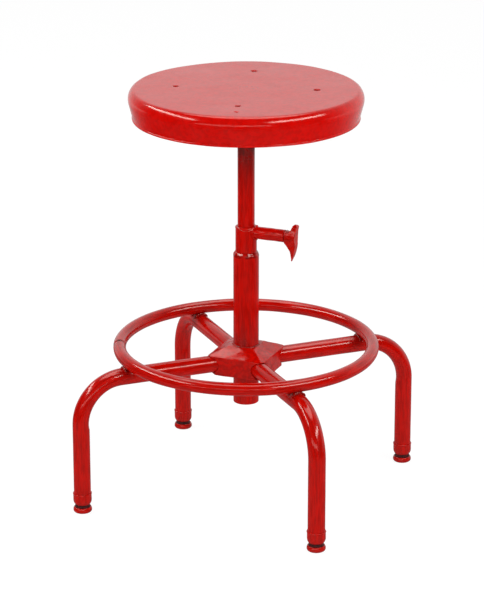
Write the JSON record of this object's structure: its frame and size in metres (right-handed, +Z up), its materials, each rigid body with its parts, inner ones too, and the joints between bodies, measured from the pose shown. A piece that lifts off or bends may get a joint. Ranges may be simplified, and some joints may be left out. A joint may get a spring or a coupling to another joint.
{
  "type": "machinist stool",
  "caption": "Round pressed-steel stool seat on a clamped, height-adjustable swivel post over a welded tube base with bent legs and a foot ring.",
  "frame": {"origin": "on the floor, under the middle of the seat post", "axes": "+Z up, +X from the post towards the clamp wing screw; the legs stand at 45 degrees to X and Y"},
  "size_m": [0.4006, 0.4006, 0.6225],
  "materials": {
    "red_enamel": "brushed-on gloss enamel over steel",
    "bearing_steel": "ground and polished",
    "bearing_bronze": "machined, oiled",
    "bare_steel": "turned",
    "blacked_steel": "blacked",
    "cushion_rubber": "rubber with red paint over it"
  },
  "bodies": {
    "base": {"boss_weld_bead": "red_enamel", "clamp_boss": "red_enamel", "column_tube": "red_enamel", "ferrule_back": "red_enamel", "ferrule_front": "red_enamel", "ferrule_left": "red_enamel", "ferrule_right": "red_enamel", "foot_ring": "red_enamel", "glide_cup_back": "red_enamel", "glide_cup_front": "red_enamel", "glide_cup_left": "red_enamel", "glide_cup_right": "red_enamel", "glide_cushion_back": "cushion_rubber", "glide_cushion_front": "cushion_rubber", "glide_cushion_left": "cushion_rubber", "glide_cushion_right": "cushion_rubber", "glide_rivets": "bare_steel", "guide_sleeve": "red_enamel", "hub_floor": "red_enamel", "hub_shell": "red_enamel", "hub_weld_bead": "red_enamel", "leg_back": "red_enamel", "leg_front": "red_enamel", "leg_left": "red_enamel", "leg_right": "red_enamel", "ring_seam_spigot": "bare_steel", "ring_welds": "red_enamel", "shoulder_weld": "red_enamel"},
    "post": {"thrust_race_lower": "bearing_steel", "thrust_balls": "bearing_steel", "ball_cage": "bearing_bronze", "post_spindle": "bare_steel", "seat_post": "red_enamel", "post_stop_collar": "bare_steel", "collar_pin": "blacked_steel"},
    "seat": {"seat_pan": "red_enamel", "seat_spreader": "red_enamel", "swivel_socket": "red_enamel", "swivel_bush_lower": "bearing_bronze", "swivel_bush_upper": "bearing_bronze", "thrust_race_upper": "bearing_steel", "swivel_retaining_screw": "blacked_steel"},
    "pad": {"clamp_pad": "bearing_bronze"},
    "wing": {"wing_screw": "red_enamel"}
  },
  "joints": [
    {"name": "seat_height", "type": "slide", "parent": "base", "child": "post", "axis": [0, 0, 1], "range_m": [-0.1145, 0.0375]},
    {"name": "seat_swivel", "type": "hinge", "parent": "post", "child": "seat", "pos_m": [0, 0, 0.566], "axis": [0, 0, 1], "continuous": true},
    {"name": "pad_travel", "type": "slide", "parent": "base", "child": "pad", "axis": [1, 0, 0], "range_m": [0, 0.00323]},
    {"name": "wing_turn", "type": "hinge", "parent": "pad", "child": "wing", "pos_m": [0.063, 0, 0.4048], "axis": [1, 0, 0], "range_deg": [0, 720]}
  ],
  "couplings": [
    {"joint": "pad_travel", "follows": "wing_turn", "m_per_rad": 0.00025266}
  ]
}
